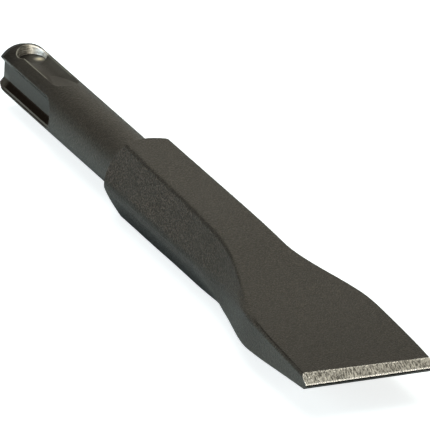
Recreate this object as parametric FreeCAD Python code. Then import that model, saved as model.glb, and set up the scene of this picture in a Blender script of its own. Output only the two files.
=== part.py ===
import FreeCAD, Part
import math
import os

# An SDS flat chisel, forged in one piece from round and hexagonal steel stock.
# The tool lies along X, from the struck rear face at X = 0 to the cutting edge.
# Z is up, square to the flat of the blade, and Y runs along the cutting edge.
# All sizes are in millimetres.

# Lengths along the axis, in order from the struck face
shank_length = 48.7
body_length = 40.8
flare_length = 34.0
blade_length = 16.5

# The round shank and its end
shank_diameter = 10.0
rear_chamfer_length = 1.8
rear_chamfer_depth = 0.7

# The two open grooves that turn the tool, on -Y and +Y
drive_floor_distance = 2.85
drive_floor_width = 2.8
drive_wall_angle = 50.0
drive_floor_length = 21.0
drive_corner_radius = 0.35

# The two closed pockets for the locking balls, on +Z and -Z: a round channel with a plunged rear end
pocket_rear = 2.4
pocket_front = 21.4
pocket_ball_radius = 3.2
pocket_rim_width = 4.6
pocket_runout_length = 8.0
pocket_front_depth = 0.6
plunge_floor_distance = 3.3
plunge_floor_width = 4.6
plunge_wall_angle = 16.0

# Rounded lips where grooves and pockets meet the round shank
lip_radius = 0.3

# The conical shoulder between the shank and the hexagon
shoulder_angle = 38.0

# The hexagonal body: half sizes behind the flare
body_half_height = 6.8
body_height_draft = 0.0139
body_half_corners = 7.85
body_corner_spread = 0.0065
body_side_flat = 1.2
body_ridge_radius = 1.0
body_side_radius = 2.0

# The wedge: where the flat faces turn down, how softly, and how hollow they are
bend_centre_past_flare = 1.0
bend_length = 19.0
wedge_hollow = 0.27
edge_half_thickness = 1.08

# The flared blade and its side faces
blade_width = 22.8
blade_edge_chamfer = 0.4
blade_edge_radius = 0.35
side_face_half_height = 3.05
side_face_lower_delay = 0.5
side_face_lower_growth = 12.0
side_face_upper_delay = 8.5
side_face_upper_growth = 18.0
side_flare_delay = 6.5
side_flare_early_end = 4.4
upper_flank_radius = 4.0

# The +Y side of the flare, which was forged a little rounder and wider than the -Y side
far_top_delay = 5.3
far_top_early_end = 3.6
far_side_delay = 2.8
far_side_late_end = 0.4
far_edge_spread = 0.52
far_spread_before_blade = 7.5
far_spread_before_edge = 6.0

# The -Y corner of the blade's top face, which was left a little thicker towards the edge
near_corner_lift = 0.22

# The ground cutting edge
bevel_angle = 33.0
edge_blunt = 0.2

# The loft along the bar: its stations in each stretch and the degree of its curves
body_stations = 4
flare_stations = 12
blade_stations = 4
loft_degree = 2

# The largest share of a side that a corner's rounding may take, and how close a lip is to the round bar
corner_share = 0.45
lip_tolerance = 0.0001

shank_radius = shank_diameter / 2
flare_start = shank_length + body_length
flare_end = flare_start + flare_length
total_length = flare_end + blade_length
blade_half_width = blade_width / 2
hex_slope = math.tan(math.radians(60))
beyond = shank_diameter


def vector(x, y, z):
    return FreeCAD.Vector(x, y, z)


def ease(x, start, end):
    """Rises smoothly from 0 at start to 1 at end."""
    t = min(max((x - start) / (end - start), 0.0), 1.0)
    return t * t * (3 - 2 * t)


def half_height(x):
    """Half thickness between the two flat faces: a drafted body, a soft bend and a hollow wedge."""
    bend = flare_start + bend_centre_past_flare
    bend_height = body_half_height - body_height_draft * (bend - shank_length)
    wedge_length = total_length - bend
    hollow_slope = 4 * wedge_hollow / wedge_length
    wedge_slope = (bend_height - edge_half_thickness) / wedge_length + hollow_slope
    past = x - bend
    body = bend_height - body_height_draft * past
    wedge = bend_height - wedge_slope * past + hollow_slope / wedge_length * past * past
    reach = max(bend_length / 2 - abs(past), 0.0)
    softened = (wedge_slope - body_height_draft) * reach * reach / (2 * bend_length)
    return min(body, wedge) - softened


def half_corners(x):
    """Half width over the body's side corners, if they were sharp."""
    return body_half_corners + body_corner_spread * (min(x, flare_start) - shank_length)


def side_face_reach(x, delay, growth):
    """How far the vertical side face reaches from mid height: a thin land that grows on the blade."""
    start = flare_start + delay
    land = body_side_flat / 2
    wanted = land + (side_face_half_height - land) * ease(x, start, start + growth)
    return min(wanted, half_height(x) - blade_edge_chamfer)


def side_half_width(x, start, end):
    """Half width at the side face, which flares from start to end."""
    body = half_corners(x) - body_side_flat / 2 / hex_slope
    return body + (blade_half_width - body) * ease(x, start, end)


def top_half_width(x, start, end):
    """Half width of the two flat faces: the hexagon's as far as start, then out to the blade's at end."""
    if x <= start:
        return half_corners(x) - half_height(x) / hex_slope
    root = half_corners(start) - half_height(start) / hex_slope
    blade = blade_half_width - blade_edge_chamfer
    return root + (blade - root) * ease(x, start, end)


def far_spread(x):
    """How much further out the +Y side of the blade runs than the -Y side."""
    start = flare_end - far_spread_before_blade
    return far_edge_spread * ease(x, start, total_length - far_spread_before_edge)


def corner_radii(x):
    """Rounding of the ridges and of the side face's upper and lower edges, sharpest on the blade."""
    along = min(max((x - flare_start) / flare_length, 0.0), 1.0)
    ridge = body_ridge_radius + (blade_edge_radius - body_ridge_radius) * along
    lower = body_side_radius + (blade_edge_radius - body_side_radius) * along
    upper = lower + (upper_flank_radius - lower) * 4 * along * (1 - along)
    return ridge, upper, lower


def rounded_wire(points, radii):
    """A closed wire through the points, with a tangent arc at each corner, limited by its sides."""
    count = len(points)
    starts = []
    middles = []
    ends = []
    for index, point in enumerate(points):
        back = points[index - 1] - point
        ahead = points[(index + 1) % count] - point
        half_angle = back.getAngle(ahead) / 2
        room = corner_share * min(back.Length, ahead.Length)
        tangent = min(radii[index] / math.tan(half_angle), room)
        radius = tangent * math.tan(half_angle)
        back.normalize()
        ahead.normalize()
        inward = (back + ahead).normalize()
        starts.append(point + back * tangent)
        middles.append(point + inward * (radius / math.sin(half_angle) - radius))
        ends.append(point + ahead * tangent)
    edges = []
    for index in range(count):
        edges.append(Part.Arc(starts[index], middles[index], ends[index]).toShape())
        edges.append(Part.makeLine(ends[index], starts[(index + 1) % count]))
    return Part.Wire(edges)


def section(x):
    """The eight-cornered cross section at X, with rounded corners."""
    top = top_half_width(x, flare_start, flare_end)
    side = side_half_width(x, flare_start + side_flare_delay, flare_end - side_flare_early_end)
    far_top = top_half_width(x, flare_start + far_top_delay, flare_end - far_top_early_end)
    far_side = side_half_width(x, flare_start + far_side_delay, flare_end + far_side_late_end)
    spread = far_spread(x)
    lift = near_corner_lift * ease(x, flare_end, total_length)
    height = half_height(x)
    above = side_face_reach(x, side_face_upper_delay, side_face_upper_growth)
    below = side_face_reach(x, side_face_lower_delay, side_face_lower_growth)
    ridge, upper, lower = corner_radii(x)
    points = [
        vector(x, far_top + spread, height),
        vector(x, -top, height + lift),
        vector(x, -side, above + lift),
        vector(x, -side, -below),
        vector(x, -top, -height),
        vector(x, far_top + spread, -height),
        vector(x, far_side + spread, -below),
        vector(x, far_side + spread, above),
    ]
    return rounded_wire(points, [ridge, ridge, upper, lower, ridge, ridge, lower, upper])


def stations():
    """Places of the loft's sections, closest together where the bar flares."""
    places = [shank_length + body_length * step / body_stations for step in range(body_stations)]
    places += [flare_start + flare_length * step / flare_stations for step in range(flare_stations)]
    places += [flare_end + blade_length * step / blade_stations for step in range(blade_stations + 1)]
    return places


def turned(profile_points):
    """A solid turned about the X axis from points given as (x, radius)."""
    wire = Part.makePolygon([vector(x, 0, radius) for x, radius in profile_points], True)
    return Part.Face(wire).revolve(vector(0, 0, 0), vector(1, 0, 0), 360)


def shoulder_envelope():
    """The turned outline that gives the hexagon its conical shoulder."""
    reach = body_half_corners * 2
    rise = (reach - shank_radius) / math.tan(math.radians(shoulder_angle))
    return turned([
        (shank_length, 0),
        (shank_length, shank_radius),
        (shank_length + rise, reach),
        (total_length + beyond, reach),
        (total_length + beyond, 0),
    ])


def bevel_envelope(side):
    """All that one ground bevel leaves of the bar: side is 1 for the upper bevel, -1 for the lower."""
    half_blunt = edge_blunt / 2
    reach = body_half_height + beyond
    run = (reach - half_blunt) / math.tan(math.radians(bevel_angle))
    outline = [
        vector(-beyond, -blade_width, -side * reach),
        vector(total_length, -blade_width, -side * reach),
        vector(total_length, -blade_width, side * half_blunt),
        vector(total_length - run, -blade_width, side * reach),
        vector(-beyond, -blade_width, side * reach),
    ]
    return Part.Face(Part.makePolygon(outline, True)).extrude(vector(0, 2 * blade_width, 0))


def drive_cutter():
    """The open drive groove on +Z, which runs out at the struck face and ends round in front."""
    half_floor = drive_floor_width / 2
    floor = drive_floor_distance
    lean = math.radians(90 - drive_wall_angle)
    spread = half_floor + (shank_diameter - floor) / math.tan(lean)
    tangent = drive_corner_radius * math.tan(lean / 2)
    arc_start = vector(0, half_floor - tangent, floor)
    arc_middle = vector(
        0,
        half_floor - tangent + drive_corner_radius * math.sin(lean / 2),
        floor + drive_corner_radius * (1 - math.cos(lean / 2)),
    )
    wall_start = vector(0, half_floor + tangent * math.cos(lean), floor + tangent * math.sin(lean))
    half_profile = Part.Face(Part.Wire([
        Part.makeLine(vector(0, 0, floor), arc_start),
        Part.Arc(arc_start, arc_middle, wall_start).toShape(),
        Part.makeLine(wall_start, vector(0, spread, shank_diameter)),
        Part.makeLine(vector(0, spread, shank_diameter), vector(0, 0, shank_diameter)),
        Part.makeLine(vector(0, 0, shank_diameter), vector(0, 0, floor)),
    ]))
    front_centre = drive_floor_length - half_floor
    half_prism = half_profile.extrude(vector(front_centre + beyond, 0, 0))
    other_half = half_prism.mirror(vector(0, 0, 0), vector(0, 1, 0))
    cutter = half_prism.fuse(other_half)
    cutter.translate(vector(-beyond, 0, 0))
    front_end = half_profile.revolve(vector(0, 0, 0), vector(0, 0, 1), 360)
    front_end.translate(vector(front_centre, 0, 0))
    return cutter.fuse(front_end).removeSplitter()


def pocket_plunge():
    """The plunged rear end of the ball pocket: a flat round floor inside a steep conical wall."""
    slope = math.tan(math.radians(plunge_wall_angle))
    floor_radius = plunge_floor_width / 2
    rear_radius = floor_radius + (shank_radius - plunge_floor_distance) * slope
    height = shank_diameter - plunge_floor_distance
    centre = vector(pocket_rear + rear_radius, 0, plunge_floor_distance)
    return Part.makeCone(floor_radius, floor_radius + height * slope, height, centre)


def pocket_cutter():
    """The closed ball pocket on +Z: its round-bottomed floor climbs out towards the front."""
    rim_height = math.sqrt(shank_radius ** 2 - (pocket_rim_width / 2) ** 2)
    ball_centre = rim_height + math.sqrt(pocket_ball_radius ** 2 - (pocket_rim_width / 2) ** 2)
    floor = ball_centre - pocket_ball_radius
    end_reach = math.sqrt(pocket_ball_radius ** 2 - (ball_centre - shank_radius) ** 2)
    front_centre = pocket_front - end_reach
    rear_centre = pocket_rear + end_reach
    along = vector(1, 0, 0)
    channel = Part.makeCylinder(
        pocket_ball_radius, front_centre - rear_centre, vector(rear_centre, 0, ball_centre), along
    )
    channel = channel.fuse(Part.makeSphere(pocket_ball_radius, vector(front_centre, 0, ball_centre), along))
    climb = pocket_front - pocket_runout_length
    outline = [
        vector(rear_centre - beyond, -beyond, 0),
        vector(climb, -beyond, 0),
        vector(climb, -beyond, floor),
        vector(pocket_front, -beyond, shank_radius - pocket_front_depth),
        vector(pocket_front + beyond, -beyond, shank_radius - pocket_front_depth),
        vector(pocket_front + beyond, -beyond, shank_diameter * 2),
        vector(rear_centre - beyond, -beyond, shank_diameter * 2),
    ]
    above_ramp = Part.Face(Part.makePolygon(outline, True)).extrude(vector(0, 2 * beyond, 0))
    return channel.common(above_ramp).fuse(pocket_plunge())


def is_lip(edge):
    """True for an edge that lies on the round surface of the shank, along a cut."""
    samples = edge.discretize(5)
    on_surface = all(abs(math.hypot(p.y, p.z) - shank_radius) < lip_tolerance for p in samples)
    along_cut = all(-beyond < p.x < shank_length for p in samples[1:-1])
    seam_of_bar = edge.Length > shank_length
    return on_surface and along_cut and not seam_of_bar


def shank():
    """The turned shank with its grooves, pockets and rounded lips, and a core inside the body."""
    core_end = shank_length + body_length / 2
    bar = Part.makeCylinder(shank_radius, beyond + core_end, vector(-beyond, 0, 0), vector(1, 0, 0))
    drive = drive_cutter()
    pocket = pocket_cutter()
    for turn in (0, 180):
        groove = drive.copy()
        groove.rotate(vector(0, 0, 0), vector(1, 0, 0), turn + 90)
        bar = bar.cut(groove)
        hollow = pocket.copy()
        hollow.rotate(vector(0, 0, 0), vector(1, 0, 0), turn)
        bar = bar.cut(hollow)
    lips = [edge for edge in bar.Edges if is_lip(edge)]
    bar = bar.makeFillet(lip_radius, lips)
    slope = rear_chamfer_depth / rear_chamfer_length
    return bar.common(turned([
        (0, 0),
        (0, shank_radius - rear_chamfer_depth),
        (rear_chamfer_length + beyond, shank_radius + slope * beyond),
        (total_length, shank_radius + slope * beyond),
        (total_length, 0),
    ]))


def forged_bar():
    """The hexagonal body that flattens and flares into the blade, with its ground edge."""
    bar = Part.makeLoft([section(x) for x in stations()], True, False, False, loft_degree)
    bar = bar.common(shoulder_envelope())
    bar = bar.common(bevel_envelope(-1))
    return bar.common(bevel_envelope(1))


def chisel():
    """The whole chisel as one solid."""
    return forged_bar().fuse(shank()).removeSplitter()


os.makedirs("parts", exist_ok=True)
flat_chisel = chisel()
solid = flat_chisel.Solids[0]
solid.exportStep("parts/flat_chisel.step")
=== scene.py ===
import bmesh
import bpy
import math
from mathutils import Matrix, Vector


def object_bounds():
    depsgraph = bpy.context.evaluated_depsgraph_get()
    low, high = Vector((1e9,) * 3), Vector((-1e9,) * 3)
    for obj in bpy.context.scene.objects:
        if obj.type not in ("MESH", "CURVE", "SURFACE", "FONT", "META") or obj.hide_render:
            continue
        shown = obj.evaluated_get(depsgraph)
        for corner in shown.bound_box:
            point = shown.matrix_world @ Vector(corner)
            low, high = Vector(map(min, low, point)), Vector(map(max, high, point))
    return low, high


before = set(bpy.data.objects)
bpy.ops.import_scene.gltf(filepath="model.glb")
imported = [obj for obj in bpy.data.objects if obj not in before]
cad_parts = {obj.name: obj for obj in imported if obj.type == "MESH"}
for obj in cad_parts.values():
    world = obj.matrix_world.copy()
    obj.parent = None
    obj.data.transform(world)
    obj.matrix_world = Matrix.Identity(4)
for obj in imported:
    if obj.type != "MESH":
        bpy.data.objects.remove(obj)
cad_low, cad_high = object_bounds()

# The chisel: one forging of alloy steel, turned and milled at the shank, pressed flat at the blade.
# It is blasted and phosphate coated all over, so it is a dark, dry brown-grey with a fine grain.
# The cutting edge is ground bright above, and the ball pockets are hammered bare at the rear.
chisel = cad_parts["flat_chisel"]
tool_length = cad_high.x
shank_length = 0.0487

coated_steel = bpy.data.materials.new("coated_forged_steel")
coated_steel.use_nodes = True
steel = coated_steel.node_tree
surface = steel.nodes["Principled BSDF"]


def worked(tree, kind, *given):
    """A sum, product or other plain working of sockets and numbers."""
    node = tree.nodes.new("ShaderNodeMath")
    node.operation = kind
    for place, part in enumerate(given):
        if isinstance(part, (int, float)):
            node.inputs[place].default_value = part
        else:
            tree.links.new(part, node.inputs[place])
    return node.outputs[0]


def parts_of(tree, vector):
    """The three parts of a vector, along X, Y and Z."""
    node = tree.nodes.new("ShaderNodeSeparateXYZ")
    tree.links.new(vector, node.inputs[0])
    return node.outputs


def length_of(tree, first, second):
    """How long a line is whose two reaches are given."""
    squares = [worked(tree, "MULTIPLY", part, part) for part in (first, second)]
    return worked(tree, "SQRT", worked(tree, "ADD", *squares))


# Where a point of the tool lies, in metres along the axis, aside and upward, and how it faces.
# Each part of the facing runs from -1 to 1.
point = steel.nodes.new("ShaderNodeTexCoord").outputs["Object"]
along, aside, upward = parts_of(steel, point)
off_aside = worked(steel, "ABSOLUTE", aside)
off_upward = worked(steel, "ABSOLUTE", upward)
radius = length_of(steel, off_aside, off_upward)
facing = steel.nodes.new("ShaderNodeNewGeometry").outputs["Normal"]
facing_parts = parts_of(steel, facing)
facing_aside = worked(steel, "ABSOLUTE", facing_parts[1])
facing_up = facing_parts[2]

# The coat: dry phosphate on blasted steel, with a grain and with lighter and darker patches.
# The grain is coarsest on the sloping flanks of the body and fades towards the flare of the blade.
# A span of two numbers is where a mask begins and is full, and two more are its values there.
coat_dark_colour = (0.0030, 0.0022, 0.0014, 1.0)
coat_light_colour = (0.088, 0.077, 0.059, 1.0)
# The flanks' colours are lighter than the rest of the coat: partly a coarser, paler grain, partly
# painted light.
coat_flank_dark_colour = (0.0090, 0.0050, 0.0015, 1.0)
coat_flank_light_colour = (0.101, 0.084, 0.066, 1.0)
coat_patch_colour = (0.023, 0.021, 0.017, 1.0)
grain_size = 0.00028
fleck_size = grain_size * 0.7
patch_size = 0.007
grain_contrast = (0.43, 0.68)
grain_evenness = 0.30
grain_off_flanks = 0.5
fleck_contrast = (0.3, 0.7)
patch_contrast = (0.4, 0.7, 0.0, 0.35)
forged_roughness = (0.42, 0.58)
turned_roughness = (0.40, 0.54)
turned_end = (shank_length, shank_length - 0.0004)
flank_lean = (0.66, 0.80)
flank_lean_end = (0.99, 0.93)
flank_fade = (0.076, 0.094, 1.0, 0.4)


def between(tree, value, low, high, low_result=0.0, high_result=1.0):
    """A smooth step of the value, from low_result at low to high_result at high."""
    node = tree.nodes.new("ShaderNodeMapRange")
    node.interpolation_type = "SMOOTHSTEP"
    tree.links.new(value, node.inputs["Value"])
    node.inputs["From Min"].default_value = low
    node.inputs["From Max"].default_value = high
    node.inputs["To Min"].default_value = low_result
    node.inputs["To Max"].default_value = high_result
    return node.outputs["Result"]


def all_of(tree, first, *others):
    """The product of masks: 1 only where every one of them is 1."""
    for other in others:
        first = worked(tree, "MULTIPLY", first, other)
    return first


def not_on(tree, mask):
    """The reverse of a mask: 1 where it is 0."""
    return worked(tree, "SUBTRACT", 1.0, mask)


def mixed(tree, share, first, second):
    """The first value where the share is 0 and the second where it is 1."""
    rise = worked(tree, "SUBTRACT", second, first)
    return worked(tree, "ADD", first, worked(tree, "MULTIPLY", share, rise))


def blended(tree, share, first, second):
    """The first colour where the share is 0 and the second where it is 1."""
    node = tree.nodes.new("ShaderNodeMix")
    node.data_type = "RGBA"
    tree.links.new(share, node.inputs["Factor"])
    for name, given in (("A", first), ("B", second)):
        socket = next(s for s in node.inputs if s.name == name and s.type == "RGBA")
        if isinstance(given, tuple):
            socket.default_value = given
        else:
            tree.links.new(given, socket)
    return next(s for s in node.outputs if s.type == "RGBA")


def grain_of(tree, coordinates, size, detail, roughness=0.5, stretch=(1.0, 1.0, 1.0)):
    """Noise whose grains are about the given size in metres, drawn out by the stretch."""
    turn = tree.nodes.new("ShaderNodeMapping")
    turn.inputs["Scale"].default_value = tuple(1.0 / (size * s) for s in stretch)
    tree.links.new(coordinates, turn.inputs["Vector"])
    node = tree.nodes.new("ShaderNodeTexNoise")
    node.inputs["Scale"].default_value = 1.0
    node.inputs["Detail"].default_value = detail
    node.inputs["Roughness"].default_value = roughness
    tree.links.new(turn.outputs[0], node.inputs["Vector"])
    return node.outputs["Fac"]


turned = between(steel, along, *turned_end)
forged = not_on(steel, turned)
flank = all_of(
    steel, forged,
    between(steel, facing_aside, *flank_lean),
    between(steel, facing_aside, *flank_lean_end),
    between(steel, along, *flank_fade),
)
grain = grain_of(steel, point, grain_size, detail=2.0, roughness=0.55)
fleck = grain_of(steel, point, fleck_size, detail=2.0)
patches = grain_of(steel, point, patch_size, detail=3.0)
grain_strength = mixed(steel, flank, grain_off_flanks, 1.0)
grain_share = mixed(
    steel, grain_strength, grain_evenness, between(steel, grain, *grain_contrast)
)
light_grain = blended(steel, flank, coat_light_colour, coat_flank_light_colour)
dark_grain = blended(steel, flank, coat_dark_colour, coat_flank_dark_colour)
dry_coat = blended(steel, grain_share, dark_grain, light_grain)
coat = blended(steel, between(steel, patches, *patch_contrast), dry_coat, coat_patch_colour)
coat_gloss = mixed(
    steel, turned,
    between(steel, fleck, *fleck_contrast, *forged_roughness),
    between(steel, fleck, *fleck_contrast, *turned_roughness),
)

# Painted shade on the coat: the rounded ridges of the body, the edges of the blade, and the lower
# flanks that face the shade of the table under the tool. The foot of the flanks, the top of the
# shank, more towards its struck end, the sides at the flare and the tip get a little. Each is found
# by its place along the tool and its facing.
body_end = 0.0895
body_fade = 0.003
ridge_end = (0.113, 0.103)
ridge_up = (0.45, 0.72)
ridge_up_end = (0.97, 0.84)
ridge_aside = (0.15, 0.35)
ridge_flecks = (0.35, 0.65)
ridge_evenness = 0.6
ridge_shade = 0.42
blade_edge_start = (0.1165, 0.1215)
blade_edge_up = (0.74, 0.84)
blade_edge_up_end = (0.995, 0.965)
blade_edge_shade = 0.75
foot_up = (0.0, 0.05)
foot_up_end = (0.46, 0.28)
foot_shade = 0.32
lower_flank_up = (-0.03, -0.12)
lower_flank_aside = (0.3, 0.5)
lower_flank_depth = (-0.0008, -0.0024, 0.28, 0.76)
lower_flank_rear = (0.057, 0.068, 0.85, 1.0)
lower_flank_front = (0.072, 0.082, 1.0, 0.8)
shank_top_up = (0.2, 0.5)
shank_shade_front = (shank_length, 0.0400, 0.0, 0.16)
shank_shade_rear = (0.030, 0.010, 0.0, 0.15)
shank_shade_struck_end = (0.008, 0.002, 0.0, 0.36)
tip_start = (0.112, 0.140)
tip_up = (0.5, 0.8)
tip_shade_share = 0.26
flare_side_start = (0.091, 0.098)
flare_side_end = (0.126, 0.112)
flare_side_aside = (0.80, 0.92)
flare_side_up = (0.5, 0.3)
flare_side_shade = 0.16


def any_of(tree, first, *others):
    """The largest of masks at each place."""
    for other in others:
        first = worked(tree, "MAXIMUM", first, other)
    return first


body = all_of(steel, forged, between(steel, along, body_end + body_fade, body_end - body_fade))
ridge = all_of(
    steel, forged,
    between(steel, along, *ridge_end),
    between(steel, facing_up, *ridge_up),
    between(steel, facing_up, *ridge_up_end),
    between(steel, facing_aside, *ridge_aside),
    mixed(steel, between(steel, fleck, *ridge_flecks), ridge_evenness, 1.0),
)
blade_edge = all_of(
    steel,
    between(steel, along, *blade_edge_start),
    between(steel, facing_up, *blade_edge_up),
    between(steel, facing_up, *blade_edge_up_end),
)
flank_foot = all_of(
    steel, body,
    between(steel, facing_up, *foot_up),
    between(steel, facing_up, *foot_up_end),
)
lower_flank = all_of(
    steel, body,
    between(steel, facing_up, *lower_flank_up),
    between(steel, facing_aside, *lower_flank_aside),
    between(steel, upward, *lower_flank_depth),
    between(steel, along, *lower_flank_rear),
    between(steel, along, *lower_flank_front),
)
shank_shade_along = worked(
    steel, "ADD",
    between(steel, along, *shank_shade_front),
    worked(
        steel, "ADD",
        between(steel, along, *shank_shade_rear),
        between(steel, along, *shank_shade_struck_end),
    ),
)
shank_top_shade = all_of(steel, turned, between(steel, facing_up, *shank_top_up), shank_shade_along)
tip_shade = all_of(steel, between(steel, along, *tip_start), between(steel, facing_up, *tip_up))
flare_side = all_of(
    steel,
    between(steel, along, *flare_side_start),
    between(steel, along, *flare_side_end),
    between(steel, facing_aside, *flare_side_aside),
    between(steel, facing_up, *flare_side_up),
)
# All the painted shade on the facets, in one mask.
painted_facet_shade = any_of(
    steel,
    worked(steel, "MULTIPLY", ridge, ridge_shade),
    worked(steel, "MULTIPLY", blade_edge, blade_edge_shade),
    worked(steel, "MULTIPLY", flank_foot, foot_shade),
    lower_flank,
    shank_top_shade,
    worked(steel, "MULTIPLY", tip_shade, tip_shade_share),
    worked(steel, "MULTIPLY", flare_side, flare_side_shade),
)

# Painted light: the coat is a little paler where the upright sides of the blade (pressed flat in
# the forge) and the sides of the turned shank face sideways.
painted_light_colour = (0.20, 0.20, 0.18, 1.0)
blade_side_start = (0.112, 0.136)
blade_side_aside = (0.95, 0.99)
blade_side_light = 0.11
shank_side_start = (0.020, 0.026)
shank_side_aside = (0.85, 0.97)
shank_side_light = 0.07

blade_side = all_of(
    steel,
    between(steel, along, *blade_side_start),
    between(steel, facing_aside, *blade_side_aside),
)
shank_side = all_of(
    steel, turned,
    between(steel, facing_aside, *shank_side_aside),
    between(steel, along, *shank_side_start),
)
painted_side_light = any_of(
    steel,
    worked(steel, "MULTIPLY", blade_side, blade_side_light),
    worked(steel, "MULTIPLY", shank_side, shank_side_light),
)
coat = blended(steel, painted_side_light, coat, painted_light_colour)

# Milled into the shank before it is coated: the drive grooves at the sides, and the ball pockets
# above and below. The coat is smoother there. Painted shade darkens the grooves' walls and floors,
# the ramp of the upper pocket and the upper half of the rim at the struck end.
# A hollow is told from the round shank by its smaller radius, and a groove lies more aside than up.
painted_shade_colour = (0.006, 0.005, 0.0035, 1.0)
cut_radius = 0.00496
cut_border = 0.00016
cut_end = (shank_length * 0.6, shank_length * 0.5)
groove_border = 0.00005
groove_roughness = 0.30
groove_wall_start = 0.0012
groove_wall_fade = 0.0005
groove_wall_up = (0.1, 0.4)
groove_wall_rear = (0.0012, 0.0030)
groove_wall_roughness = 0.22
groove_floor_shade = (0.004, 0.020, 0.28, 0.44)
wall_lip_radius = (0.00438, 0.00450)
wall_lip_radius_end = (0.00478, 0.00468)
wall_lip_below = (0.0, -0.0005)
wall_lip_roughness = 0.50
wall_lip_shade_share = 0.25
pocket_roughness = 0.50
ramp_start = (0.0125, 0.0145)
above_axis = (0.0, 0.001)
ramp_shade = 0.40
struck_rim_end = (0.0020, 0.0017)
struck_rim_radius = (0.0041, 0.0043)
struck_rim_shade = 0.8
struck_rim_roughness = 0.60

cut_in = all_of(
    steel,
    between(steel, radius, cut_radius, cut_radius - cut_border),
    between(steel, along, *cut_end),
)
sideways = between(
    steel, worked(steel, "SUBTRACT", off_aside, off_upward), -groove_border, groove_border
)
groove = worked(steel, "MULTIPLY", cut_in, sideways)
pocket = worked(steel, "MULTIPLY", cut_in, not_on(steel, sideways))
wall_lip = all_of(
    steel,
    between(steel, radius, *wall_lip_radius),
    between(steel, radius, *wall_lip_radius_end),
    between(steel, upward, *wall_lip_below),
)
groove_wall = all_of(
    steel, groove,
    between(steel, off_upward, groove_wall_start, groove_wall_start + groove_wall_fade),
    between(steel, facing_up, *groove_wall_up),
    between(steel, along, *groove_wall_rear),
)
# Painted shade on the upper half only: on the rim of the struck end, and on the ramp at the front
# of the upper pocket.
struck_rim = all_of(
    steel,
    between(steel, along, *struck_rim_end),
    between(steel, radius, *struck_rim_radius),
    between(steel, upward, *above_axis),
)
ramp = all_of(steel, between(steel, along, *ramp_start), between(steel, upward, *above_axis))
wall_lip_shade = worked(steel, "MULTIPLY", groove_wall, wall_lip_shade_share)
# Painted shade: on the facets, in the grooves, on the upper half of the struck rim and on the ramp
# of the upper pocket.
painted_shade_share = any_of(
    steel, painted_facet_shade,
    mixed(steel, wall_lip, groove_wall, wall_lip_shade),
    worked(steel, "MULTIPLY", struck_rim, struck_rim_shade),
    all_of(steel, groove, between(steel, along, *groove_floor_shade)),
    all_of(steel, cut_in, ramp, not_on(steel, sideways), ramp_shade),
)
coat = blended(steel, painted_shade_share, coat, painted_shade_colour)
wall_gloss = mixed(steel, wall_lip, groove_wall_roughness, wall_lip_roughness)
coat_gloss = mixed(steel, groove, coat_gloss, groove_roughness)
coat_gloss = mixed(steel, pocket, coat_gloss, pocket_roughness)
coat_gloss = mixed(steel, groove_wall, coat_gloss, wall_gloss)
coat_gloss = mixed(steel, struck_rim, coat_gloss, struck_rim_roughness)

# The lips of the ball pockets and grooves are pale: partly rubbed by the balls and the drive keys,
# partly a painted highlight, stronger on the -Y side. The lips of the grooves' walls get a painted
# highlight, and the far wall of a pocket and the foot of the struck end get painted light, but
# less.
lip_wear_and_highlight_colour = (0.33, 0.34, 0.28, 1.0)
lip_radius = (0.00480, 0.00486)
lip_radius_end = (0.00499, 0.00495)
lip_end = (0.0170, 0.0156)
lip_start = (0.0022, 0.0030)
lip_far_side = (-0.0005, 0.0010, 1.0, 0.45)
pocket_lip_paleness = 0.8
groove_lip_paleness = 0.06
wall_lip_highlight_share = 0.70
lee_aside = (0.0006, 0.0020)
lee_start = (0.006, 0.009)
far_wall_light_share = 0.24
struck_foot_end = (0.0030, 0.0012)
struck_foot_below = (0.0, -0.0010)
struck_foot_light_share = 0.35

lip = all_of(
    steel,
    between(steel, radius, *lip_radius),
    between(steel, radius, *lip_radius_end),
    between(steel, along, *lip_end),
    between(steel, along, *lip_start),
)
lip_wear_and_highlight = all_of(
    steel, lip,
    mixed(steel, sideways, pocket_lip_paleness, groove_lip_paleness),
    between(steel, aside, *lip_far_side),
)
wall_lip_highlight = worked(
    steel, "MULTIPLY", all_of(steel, groove_wall, wall_lip), wall_lip_highlight_share
)
far_wall_light = all_of(
    steel, pocket, between(steel, aside, *lee_aside), between(steel, along, *lee_start)
)
struck_foot = all_of(
    steel,
    between(steel, along, *struck_foot_end),
    between(steel, upward, *struck_foot_below),
)
painted_wall_and_foot_light = any_of(
    steel,
    worked(steel, "MULTIPLY", far_wall_light, far_wall_light_share),
    worked(steel, "MULTIPLY", struck_foot, struck_foot_light_share),
)
coat = blended(steel, lip_wear_and_highlight, coat, lip_wear_and_highlight_colour)
coat = blended(steel, wall_lip_highlight, coat, painted_light_colour)
coat = blended(steel, painted_wall_and_foot_light, coat, painted_light_colour)

# Bare steel on the steep wall at the rear of each pocket, where the ball has hammered the coat off;
# less of it is bare on its -Y side, as painted shade. One spot of the floor is painted pale and
# warm as a reflection of the wall, and painted shade darkens the crease between them.
plunge_centre = 0.00519
plunge_radius = 0.0023
plunge_floor = 0.0033
wall_radius = (0.00499, 0.00496)
wall_foot = (plunge_floor + 0.00004, plunge_floor + 0.00008)
wall_inside = (plunge_radius - 0.0001, plunge_radius)
wall_outside = (plunge_radius + 0.0009, plunge_radius + 0.0007)
wall_front = (plunge_centre + 0.0012, plunge_centre + 0.0002)
wall_near_side = (-0.0004, -0.0014, 1.0, 0.35)
spot_centre = (0.0053, 0.0013)
spot_radius = 0.0014
spot_height = (0.0040, 0.0038)
crease_front = (plunge_centre + 0.0016, plunge_centre + 0.0006)
crease_height = (plunge_floor + 0.00009, plunge_floor + 0.00004)
crease_inside = (plunge_radius - 0.0003, plunge_radius - 0.0001)

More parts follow.
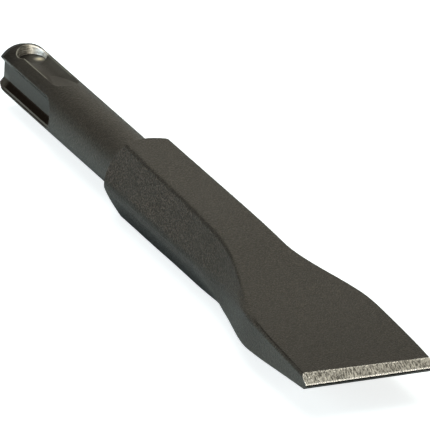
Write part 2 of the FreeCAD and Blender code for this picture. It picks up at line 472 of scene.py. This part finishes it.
from_plunge = length_of(steel, worked(steel, "SUBTRACT", along, plunge_centre), aside)
plunge_wall = all_of(
    steel, not_on(steel, sideways),
    between(steel, radius, *wall_radius),
    between(steel, off_upward, *wall_foot),
    between(steel, from_plunge, *wall_inside),
    between(steel, from_plunge, *wall_outside),
    between(steel, along, *wall_front),
    between(steel, aside, *wall_near_side),
)
from_spot = length_of(
    steel,
    worked(steel, "SUBTRACT", along, spot_centre[0]),
    worked(steel, "SUBTRACT", aside, spot_centre[1]),
)
# A painted reflection: the spot of the floor where the bright wall is mirrored.
reflection_spot = all_of(
    steel, pocket,
    between(steel, from_spot, spot_radius, 0.0),
    between(steel, off_upward, *spot_height),
)
# Painted shade along the crease between the wall and the floor.
crease_shade = all_of(
    steel, pocket,
    between(steel, along, *crease_front),
    between(steel, off_upward, *crease_height),
    between(steel, from_plunge, *crease_inside),
)
coat = blended(steel, crease_shade, coat, painted_shade_colour)

# Ground after coating: the upper bevel of the cutting edge. Its border with the coat is ragged,
# and the thin nose under it keeps its coat and is painted dark as shade.
bevel_angle = math.radians(33.0)
bevel_nose = 0.0001
nose_start = (tool_length - 0.00006, tool_length - 0.00002)
bevel_border = (-0.00009, -0.00004)
chip_size = 0.00026
chip_middle = 0.5
raggedness = 0.00018


def projected(tree, vector, normal):
    """How far the vector reaches along the normal, which may be a socket."""
    node = tree.nodes.new("ShaderNodeVectorMath")
    node.operation = "DOT_PRODUCT"
    tree.links.new(vector, node.inputs[0])
    if isinstance(normal, Vector):
        node.inputs[1].default_value = normal
    else:
        tree.links.new(normal, node.inputs[1])
    return node.outputs["Value"]


bevel_normal = Vector((math.sin(bevel_angle), 0.0, math.cos(bevel_angle)))
bevel_reach = bevel_normal.dot(Vector((tool_length, 0.0, bevel_nose)))
above_bevel = worked(steel, "SUBTRACT", projected(steel, point, bevel_normal), bevel_reach)
chips = grain_of(steel, point, chip_size, detail=2.0, roughness=0.6)
ragged = worked(steel, "MULTIPLY", worked(steel, "SUBTRACT", chips, chip_middle), raggedness)
nose = between(steel, along, *nose_start)
coat = blended(steel, nose, coat, painted_shade_colour)
painted_shade_share = any_of(steel, painted_shade_share, nose)
ground = worked(
    steel, "MULTIPLY",
    between(steel, worked(steel, "ADD", above_bevel, ragged), *bevel_border),
    not_on(steel, nose),
)

# The bare steel: grinding marks run across the bevel, and rings round the wall of the pocket.
# Painted glints: bright white flecks on the -Y half of the bevel. Its borders are chipped bright.
steel_colour = (0.62, 0.60, 0.54, 1.0)
steel_dark_colour = (0.08, 0.075, 0.064, 1.0)
bright_steel_and_highlight_colour = (0.97, 0.96, 0.92, 1.0)
reflection_spot_colour = (0.74, 0.66, 0.47, 1.0)
grinding_mark_size = 0.00030
grinding_mark_stretch = (2.6, 0.75, 2.6)
ring_size = 0.0003
ring_stretch = (9.0, 9.0, 0.6)
scratch_contrast = (0.36, 0.62)
glint_chips = (0.58, 0.66)
glint_near_side = (0.002, -0.010, 0.0, 0.9)
wall_highlight_aside = (0.0002, 0.0012)
wall_highlight_share = 0.95
chip_reach = 0.00038
corner_samples = 8
border_turn = (0.0006, 0.004)
border_chips = (0.48, 0.56)
edge_strip_start = (tool_length - 0.00034, tool_length - 0.00020)
edge_strip_chips = (0.32, 0.44)
bevel_roughness = 0.36
bare_end_roughness = 0.42
chipped_roughness = 0.08

marks = grain_of(
    steel, point, grinding_mark_size, detail=3.0, roughness=0.75, stretch=grinding_mark_stretch
)
rings = grain_of(steel, point, ring_size, detail=2.0, stretch=ring_stretch)
scratches = mixed(steel, ground, rings, marks)
painted_glints = all_of(
    steel, ground,
    between(steel, chips, *glint_chips),
    between(steel, aside, *glint_near_side),
)
# A painted highlight: the +Y part of the bare pocket wall is made almost white.
painted_wall_highlight = all_of(steel, plunge_wall, between(steel, aside, *wall_highlight_aside))
rounded_facing = steel.nodes.new("ShaderNodeBevel")
rounded_facing.samples = corner_samples
rounded_facing.inputs["Radius"].default_value = chip_reach
corner = not_on(steel, projected(steel, facing, rounded_facing.outputs[0]))
edge_strip = between(steel, along, *edge_strip_start)
chipped_border = all_of(steel, ground, any_of(
    steel,
    all_of(
        steel, between(steel, corner, *border_turn), between(steel, chips, *border_chips)
    ),
    all_of(steel, edge_strip, between(steel, chips, *edge_strip_chips)),
))
steel_face = blended(
    steel, between(steel, scratches, *scratch_contrast), steel_dark_colour, steel_colour
)
steel_face = blended(steel, painted_glints, steel_face, bright_steel_and_highlight_colour)
steel_face = blended(
    steel, worked(steel, "MULTIPLY", painted_wall_highlight, wall_highlight_share), steel_face, bright_steel_and_highlight_colour
)
steel_face = blended(steel, reflection_spot, steel_face, reflection_spot_colour)
steel_face = blended(steel, chipped_border, steel_face, bright_steel_and_highlight_colour)

# All of it on the one surface: the bare places are metal, the painted shade is dark metal that
# holds back its gloss, and the painted reflection spot is only partly metal. The grain and the
# scratches stand out a little. Every edge is rounded by about 0.1 mm.
coat_shine = 0.5
painted_shade_metal = 0.9
reflection_spot_metal = 0.2
edge_rounding = 0.00012
bump_height = 0.00034
bump_strength = 0.9
forged_relief = 0.65
turned_relief = 0.40
cut_smoothness = 0.85
scratch_relief = 0.6

bare = worked(steel, "MAXIMUM", ground, any_of(steel, plunge_wall, reflection_spot))
metal = worked(steel, "MAXIMUM", bare, worked(steel, "MULTIPLY", painted_shade_share, painted_shade_metal))
metal = mixed(steel, reflection_spot, metal, reflection_spot_metal)
bare_gloss = mixed(
    steel, chipped_border,
    mixed(steel, ground, bare_end_roughness, bevel_roughness),
    chipped_roughness,
)
steel.links.new(blended(steel, bare, coat, steel_face), surface.inputs["Base Color"])
steel.links.new(metal, surface.inputs["Metallic"])
steel.links.new(mixed(steel, bare, coat_gloss, bare_gloss), surface.inputs["Roughness"])
surface.inputs["Specular IOR Level"].default_value = coat_shine

rounding = steel.nodes.new("ShaderNodeBevel")
rounding.samples = corner_samples
rounding.inputs["Radius"].default_value = edge_rounding
bump = steel.nodes.new("ShaderNodeBump")
bump.inputs["Strength"].default_value = bump_strength
bump.inputs["Distance"].default_value = bump_height
relief = mixed(steel, flank, mixed(steel, turned, forged_relief, turned_relief), 1.0)
coat_bumps = all_of(
    steel, grain, relief,
    not_on(steel, worked(steel, "MULTIPLY", cut_in, cut_smoothness)),
)
bumps = mixed(steel, bare, coat_bumps, worked(steel, "MULTIPLY", scratches, scratch_relief))
steel.links.new(bumps, bump.inputs["Height"])
steel.links.new(rounding.outputs[0], bump.inputs["Normal"])
steel.links.new(bump.outputs[0], surface.inputs["Normal"])

chisel.data.materials.clear()
chisel.data.materials.append(coated_steel)

# The camera: far off with a long lens, in front of the cutting edge and above it.
# It is aimed by a point on the tool's axis, which falls on a given pixel of a 430 pixel square.
frame_pixels = 430.0
sensor_width = 36.0
focal_pixels = 12000.0
camera_azimuth = math.radians(25.915)
camera_elevation = math.radians(22.751)
camera_roll = math.radians(2.944)
camera_distance = 2.0
camera_far_limit = 20.0
aim_point = Vector((0.070, 0.0, 0.0))
aim_pixel = (189.55, 217.59)

backward = Vector((
    math.cos(camera_elevation) * math.cos(camera_azimuth),
    -math.cos(camera_elevation) * math.sin(camera_azimuth),
    math.sin(camera_elevation),
))
level_right = (-backward).cross(Vector((0.0, 0.0, 1.0))).normalized()
level_down = (-backward).cross(level_right)
right = level_right * math.cos(camera_roll) - level_down * math.sin(camera_roll)
down = level_right * math.sin(camera_roll) + level_down * math.cos(camera_roll)
across = (aim_pixel[0] - frame_pixels / 2) / focal_pixels * camera_distance
below = (aim_pixel[1] - frame_pixels / 2) / focal_pixels * camera_distance
camera_place = aim_point - right * across - down * below + backward * camera_distance

camera_data = bpy.data.cameras.new("camera")
camera_data.sensor_width = sensor_width
camera_data.lens = focal_pixels * sensor_width / frame_pixels
camera_data.clip_end = camera_far_limit
camera = bpy.data.objects.new("camera", camera_data)
bpy.context.scene.collection.objects.link(camera)
camera.matrix_world = Matrix((
    (right.x, -down.x, backward.x, camera_place.x),
    (right.y, -down.y, backward.y, camera_place.y),
    (right.z, -down.z, backward.z, camera_place.z),
    (0.0, 0.0, 0.0, 1.0),
))
bpy.context.scene.camera = camera

# The table: a large pale sheet of dry paper that the tool lies on. It is a little cool and
# lights the tool's underside, and it is lifted to white only where the camera sees it.
table_half = 3.0
table_colour = (0.72, 0.83, 0.88, 1.0)
table_roughness = 0.9
table_shine = 0.0
table_lift = 0.74
table_lift_colour = (1.0, 1.0, 1.0, 1.0)

table_mesh = bpy.data.meshes.new("table")
sheet = bmesh.new()
bmesh.ops.create_grid(sheet, x_segments=1, y_segments=1, size=table_half)
bmesh.ops.translate(sheet, verts=sheet.verts, vec=(0.0, 0.0, cad_low.z))
sheet.to_mesh(table_mesh)
sheet.free()
table = bpy.data.objects.new("table", table_mesh)
bpy.context.scene.collection.objects.link(table)

table_paper = bpy.data.materials.new("table_paper")
table_paper.use_nodes = True
paper = table_paper.node_tree
paper_surface = paper.nodes["Principled BSDF"]
paper_surface.inputs["Base Color"].default_value = table_colour
paper_surface.inputs["Roughness"].default_value = table_roughness
paper_surface.inputs["Specular IOR Level"].default_value = table_shine
paper_surface.inputs["Emission Color"].default_value = table_lift_colour
seen = paper.nodes.new("ShaderNodeLightPath").outputs["Is Camera Ray"]
lift = worked(paper, "MULTIPLY", seen, table_lift)
paper.links.new(lift, paper_surface.inputs["Emission Strength"])
table_mesh.materials.append(table_paper)

# The light: a dim room with a broad warm light overhead, a cool window low on the left,
# and a pale wall behind. A small lamp in front reaches into the ball pocket.
# Each light of the room has a direction, the half angle that it fills, and its middle colour.
room_air_colour = (0.05, 0.05, 0.05)
room_lights = (
    ((0.0, 0.0, 1.0), 37.0, (2.85, 2.75, 2.45)),
    ((0.1, -0.97, 0.2), 37.0, (2.60, 3.00, 3.15)),
    ((-0.83, 0.40, 0.25), 37.0, (0.82, 0.78, 0.66)),
    ((-0.83, -0.52, 0.20), 37.0, (0.20, 0.14, 0.09)),
)
lamp_aim = Vector((0.005, 0.0, 0.004))
lamp_direction = Vector((0.97, -0.10, 0.22))
lamp_distance = 1.2
lamp_size = 0.50
lamp_power = 4.5
lamp_colour = (1.0, 0.93, 0.78)

room = bpy.data.worlds.new("room")
room.use_nodes = True
air = room.node_tree
direction = air.nodes.new("ShaderNodeTexCoord").outputs["Generated"]
channels = list(room_air_colour)
for light_side, half_angle, colour in room_lights:
    edge = math.cos(math.radians(half_angle))
    toward = projected(air, direction, Vector(light_side).normalized())
    glow = between(air, toward, edge, 1.0)
    channels = [
        worked(air, "ADD", channel, worked(air, "MULTIPLY", glow, part))
        for channel, part in zip(channels, colour)
    ]
gather = air.nodes.new("ShaderNodeCombineXYZ")
for channel, socket in zip(channels, gather.inputs):
    air.links.new(channel, socket)
air.links.new(gather.outputs[0], air.nodes["Background"].inputs["Color"])
air.nodes["Background"].inputs["Strength"].default_value = 1.0
bpy.context.scene.world = room

lamp_data = bpy.data.lights.new("pocket_lamp", "AREA")
lamp_data.size = lamp_size
lamp_data.energy = lamp_power
lamp_data.color = lamp_colour
lamp = bpy.data.objects.new("pocket_lamp", lamp_data)
bpy.context.scene.collection.objects.link(lamp)
lamp_away = lamp_direction.normalized()
lamp.location = lamp_aim + lamp_away * lamp_distance
lamp.rotation_euler = (-lamp_away).to_track_quat("-Z", "Y").to_euler()

bpy.context.scene.view_settings.view_transform = "Standard"
